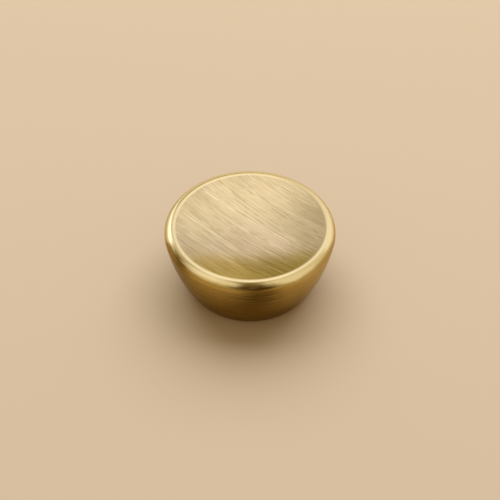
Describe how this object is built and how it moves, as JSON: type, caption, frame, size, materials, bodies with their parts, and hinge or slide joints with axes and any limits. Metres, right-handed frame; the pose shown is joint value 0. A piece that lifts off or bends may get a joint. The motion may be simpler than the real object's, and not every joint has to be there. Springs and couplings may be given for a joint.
{
  "type": "cabinet knob",
  "caption": "Low round cabinet knob, turned solid: flat foot, flared curved side, rounded rim, shallow brushed dish in the face, tapped hole underneath.",
  "frame": {"origin": "centre of the flat foot, on the knob's axis", "axes": "+Z along the knob's axis, from the foot to the dished face"},
  "size_m": [0.035, 0.035, 0.0152],
  "materials": {
    "brass": "face brushed in straight lines, rim polished, side turned and darkened towards the foot"
  },
  "bodies": {
    "root": {"knob": "brass"}
  },
  "joints": []
}
